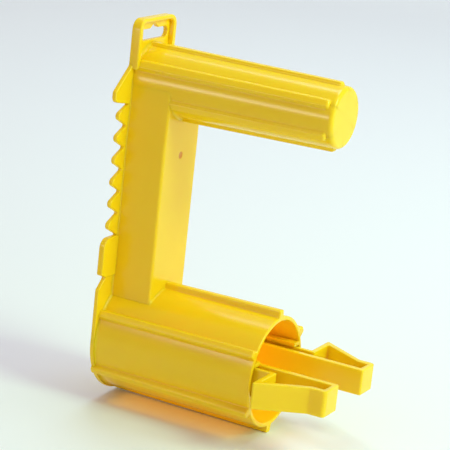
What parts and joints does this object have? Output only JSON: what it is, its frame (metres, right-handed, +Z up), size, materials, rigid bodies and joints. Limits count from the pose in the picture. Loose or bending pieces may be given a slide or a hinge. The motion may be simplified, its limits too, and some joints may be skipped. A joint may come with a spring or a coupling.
{
  "type": "fence line hand winder",
  "caption": "Hand winder for electric-fence line: ribbed grip, box spine with line teeth, and a ribbed spool barrel with two squeeze-to-release latches.",
  "frame": {"origin": "on the barrel's axis, at the rear face of the back plate", "axes": "+X along the barrel and the grip, towards the open mouth; +Z up the spine from the barrel to the grip; +Y to the winder's left"},
  "size_m": [0.1474, 0.0952, 0.2213],
  "materials": {
    "yellow_plastic": "glossy moulded polypropylene, slightly translucent"
  },
  "bodies": {
    "frame": {"back_plate": "yellow_plastic", "hang_tab_web": "yellow_plastic", "hang_tab_rim": "yellow_plastic", "line_hook_left": "yellow_plastic", "line_hook_right": "yellow_plastic", "line_teeth_left": "yellow_plastic", "line_teeth_right": "yellow_plastic", "notch_flange_left": "yellow_plastic", "notch_flange_right": "yellow_plastic", "spine_front_wall": "yellow_plastic", "spine_side_left": "yellow_plastic", "spine_side_right": "yellow_plastic", "handle_tube": "yellow_plastic", "handle_ribs": "yellow_plastic", "handle_end_cap": "yellow_plastic", "barrel_tube": "yellow_plastic", "barrel_ribs": "yellow_plastic", "latch_guides": "yellow_plastic", "latch_root_left": "yellow_plastic", "latch_root_right": "yellow_plastic"},
    "latch_left": {"latch_arm_left": "yellow_plastic", "latch_hook_left": "yellow_plastic", "latch_pad_left": "yellow_plastic"},
    "latch_right": {"latch_arm_right": "yellow_plastic", "latch_hook_right": "yellow_plastic", "latch_pad_right": "yellow_plastic"}
  },
  "joints": [
    {"name": "latch_left_flex", "type": "hinge", "parent": "frame", "child": "latch_left", "pos_m": [0.012, 0.02095, 0.0011], "axis": [0, 0, 1], "range_deg": [-6, 0], "stiffness_Nm_per_rad": 22},
    {"name": "latch_right_flex", "type": "hinge", "parent": "frame", "child": "latch_right", "pos_m": [0.012, -0.02095, 0.0011], "axis": [0, 0, 1], "range_deg": [0, 6], "stiffness_Nm_per_rad": 22}
  ]
}
